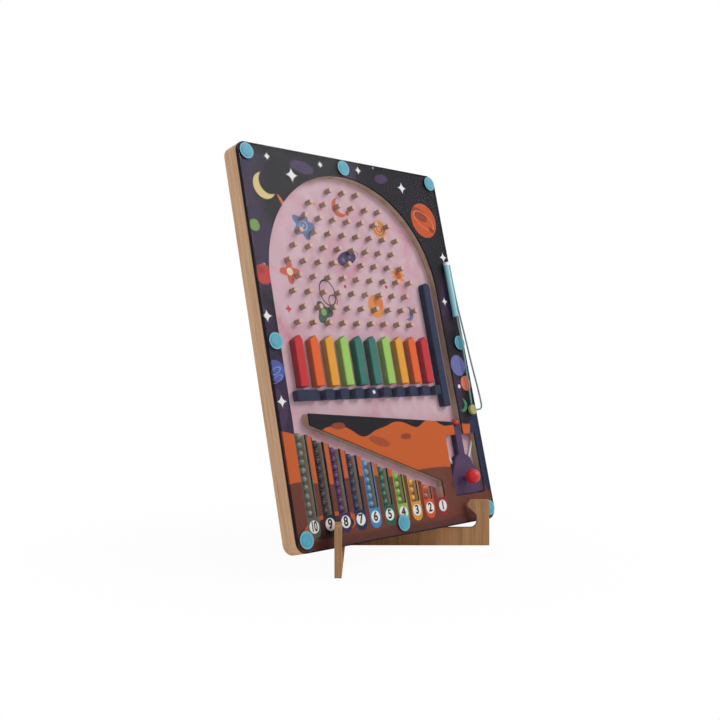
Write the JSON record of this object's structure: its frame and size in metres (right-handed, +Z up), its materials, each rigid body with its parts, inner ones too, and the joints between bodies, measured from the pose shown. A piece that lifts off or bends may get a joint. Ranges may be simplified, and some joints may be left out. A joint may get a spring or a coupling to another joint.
{
  "type": "magnetic pinball game",
  "caption": "Tabletop pinball game: leaning wooden board with ball slots, pegs, painted bars, a sliding gate, an elastic plunger and a corded magnet wand, on a crossed stand.",
  "frame": {"origin": "crossing of the two stand plates, on the table", "axes": "+X to the player's right, +Y away from the player, +Z up"},
  "size_m": [0.2248, 0.1121, 0.3105],
  "materials": {
    "board_wood": "fine grain, satin",
    "sheet_print": "printed, satin",
    "face_print": "printed, satin",
    "clear_plastic": "clear, glossy",
    "steel": "bright",
    "cap_blue": "satin",
    "peg_wood": "sanded",
    "paint_red": "painted, satin",
    "paint_orange": "painted, satin",
    "paint_yellow": "painted, satin",
    "paint_lime": "painted, satin",
    "paint_teal": "painted, satin",
    "paint_navy": "painted, satin",
    "paint_purple": "painted, satin",
    "knob_red": "glossy",
    "elastic": "matte",
    "button_yellow": "satin",
    "wand_blue": "satin",
    "collar_white": "satin",
    "cord_teal": "matte",
    "stand_wood": "fine grain, satin",
    "ball_grey": "metallic",
    "ball_black": "metallic",
    "ball_purple": "metallic",
    "ball_navy": "metallic",
    "ball_blue": "metallic",
    "ball_green": "metallic",
    "ball_lime": "metallic",
    "ball_yellow": "metallic",
    "ball_orange": "metallic",
    "ball_red": "metallic"
  },
  "bodies": {
    "stand": {"stand_left": "stand_wood", "stand_right": "stand_wood"},
    "board": {"base_board": "board_wood", "playfield_sheet": "sheet_print", "frame_board": "board_wood", "printed_face": "face_print", "clear_cover": "clear_plastic", "cap_screws": "steel", "cover_caps": "cap_blue", "pegs": "peg_wood", "bar_1_red": "paint_red", "bar_2_orange": "paint_orange", "bar_3_yellow": "paint_yellow", "bar_4_lime": "paint_lime", "bar_5_teal": "paint_teal", "bar_6_teal": "paint_teal", "bar_7_lime": "paint_lime", "bar_8_yellow": "paint_yellow", "bar_9_orange": "paint_orange", "bar_10_red": "paint_red", "lane_bar": "paint_navy", "plunger_elastic": "elastic", "cord_button": "button_yellow", "wand_cord_inner": "cord_teal", "wand_cord_outer": "cord_teal"},
    "plunger": {"plunger": "paint_purple", "knob_stem": "steel", "plunger_knob": "knob_red"},
    "gate": {"release_gate": "paint_navy", "gate_plug": "steel"},
    "wand": {"wand_body": "wand_blue", "wand_magnet": "steel", "wand_collar": "collar_white"},
    "lane_ball": {"ball_1_red": "ball_red"},
    "column_10_grey": {"balls_10_grey": "ball_grey"},
    "column_9_black": {"balls_9_black": "ball_black"},
    "column_8_purple": {"balls_8_purple": "ball_purple"},
    "column_7_navy": {"balls_7_navy": "ball_navy"},
    "column_6_blue": {"balls_6_blue": "ball_blue"},
    "column_5_green": {"balls_5_green": "ball_green"},
    "column_4_lime": {"balls_4_lime": "ball_lime"},
    "column_3_yellow": {"balls_3_yellow": "ball_yellow"},
    "column_2_orange": {"balls_2_orange": "ball_orange"}
  },
  "joints": [
    {"name": "board_lift", "type": "slide", "parent": "stand", "child": "board", "axis": [0, 0.2334, 0.9724], "range_m": [0, 0.03]},
    {"name": "plunger_pull", "type": "slide", "parent": "board", "child": "plunger", "axis": [0, 0.2334, 0.9724], "range_m": [-0.01, 0], "stiffness_N_per_m": 150, "springref_m": 0.01, "deforming": ["plunger_elastic"]},
    {"name": "gate_slide", "type": "slide", "parent": "board", "child": "gate", "axis": [1, 0, 0], "range_m": [-0.0076, 0]},
    {"name": "wand_lift", "type": "slide", "parent": "board", "child": "wand", "axis": [0, -0.9724, 0.2334], "range_m": [0, 0.03], "deforming": ["wand_cord_inner", "wand_cord_outer"]},
    {"name": "lane_ball_roll", "type": "slide", "parent": "board", "child": "lane_ball", "axis": [0, 0.2334, 0.9724], "range_m": [0, 0.11]},
    {"name": "column_10_grey_roll", "type": "slide", "parent": "board", "child": "column_10_grey", "axis": [0, 0.2334, 0.9724], "range_m": [0, 0.0085]},
    {"name": "column_9_black_roll", "type": "slide", "parent": "board", "child": "column_9_black", "axis": [0, 0.2334, 0.9724], "range_m": [0, 0.0085]},
    {"name": "column_8_purple_roll", "type": "slide", "parent": "board", "child": "column_8_purple", "axis": [0, 0.2334, 0.9724], "range_m": [0, 0.0085]},
    {"name": "column_7_navy_roll", "type": "slide", "parent": "board", "child": "column_7_navy", "axis": [0, 0.2334, 0.9724], "range_m": [0, 0.0085]},
    {"name": "column_6_blue_roll", "type": "slide", "parent": "board", "child": "column_6_blue", "axis": [0, 0.2334, 0.9724], "range_m": [0, 0.0085]},
    {"name": "column_5_green_roll", "type": "slide", "parent": "board", "child": "column_5_green", "axis": [0, 0.2334, 0.9724], "range_m": [0, 0.0085]},
    {"name": "column_4_lime_roll", "type": "slide", "parent": "board", "child": "column_4_lime", "axis": [0, 0.2334, 0.9724], "range_m": [0, 0.0085]},
    {"name": "column_3_yellow_roll", "type": "slide", "parent": "board", "child": "column_3_yellow", "axis": [0, 0.2334, 0.9724], "range_m": [0, 0.0085]},
    {"name": "column_2_orange_roll", "type": "slide", "parent": "board", "child": "column_2_orange", "axis": [0, 0.2334, 0.9724], "range_m": [0, 0.0085]}
  ]
}
